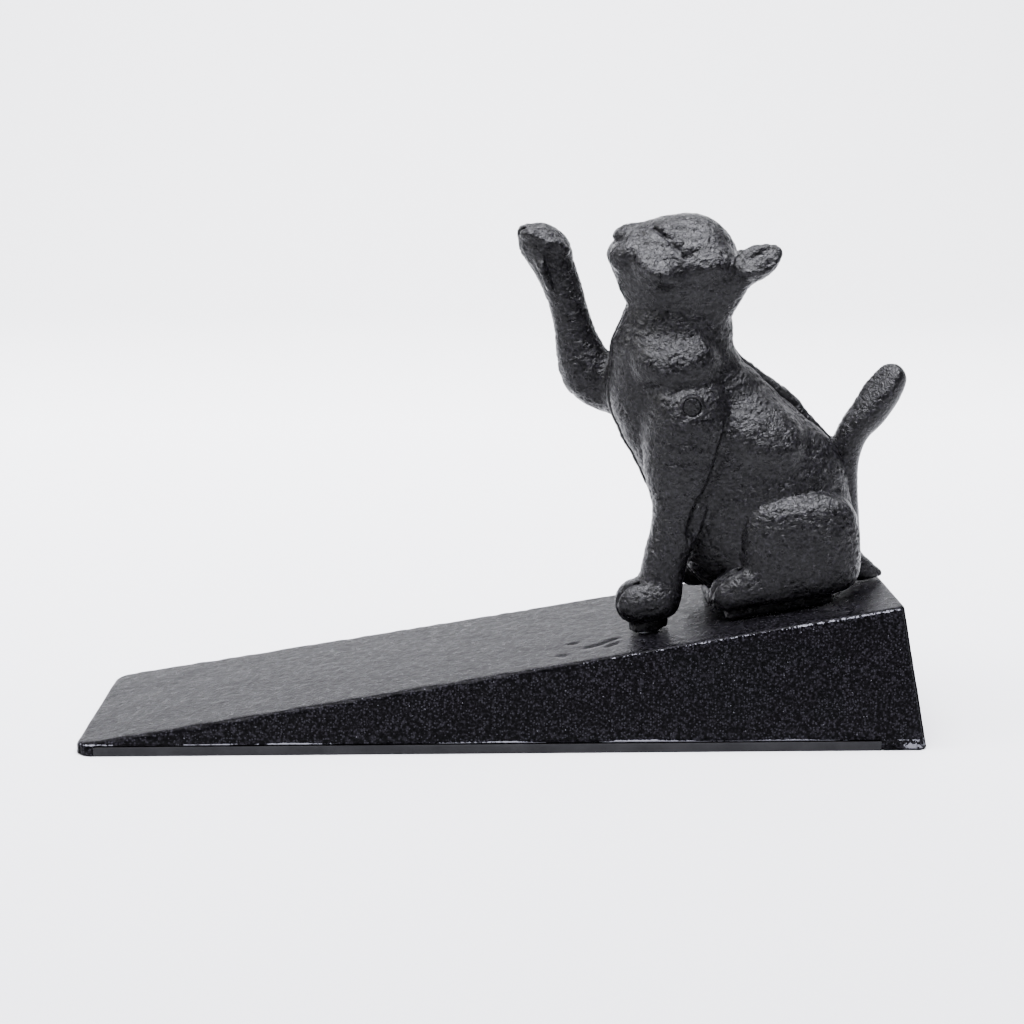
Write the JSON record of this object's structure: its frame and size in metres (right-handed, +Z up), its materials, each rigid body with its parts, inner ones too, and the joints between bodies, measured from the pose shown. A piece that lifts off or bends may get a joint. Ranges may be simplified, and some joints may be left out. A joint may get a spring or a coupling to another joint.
{
  "type": "wedge door stop",
  "caption": "Cast-iron wedge door stop with a sitting cat figure that reaches up with one forepaw.",
  "frame": {"origin": "on the floor under the middle of the wedge's length and width", "axes": "+X from the thin end of the wedge to its high end, +Y to the cat's right, +Z up"},
  "size_m": [0.165, 0.045, 0.1019],
  "materials": {
    "black_iron": "black enamel, satin, over a rough casting",
    "sole_rubber": "matt",
    "zinc_steel": "bright zinc"
  },
  "bodies": {
    "root": {"wedge_body": "black_iron", "rubber_sole": "sole_rubber", "cat_left_half": "black_iron", "cat_right_half": "black_iron", "shoulder_rivet": "zinc_steel", "front_screw": "zinc_steel", "rear_screw": "zinc_steel", "front_washer": "zinc_steel", "rear_washer": "zinc_steel"}
  },
  "joints": []
}
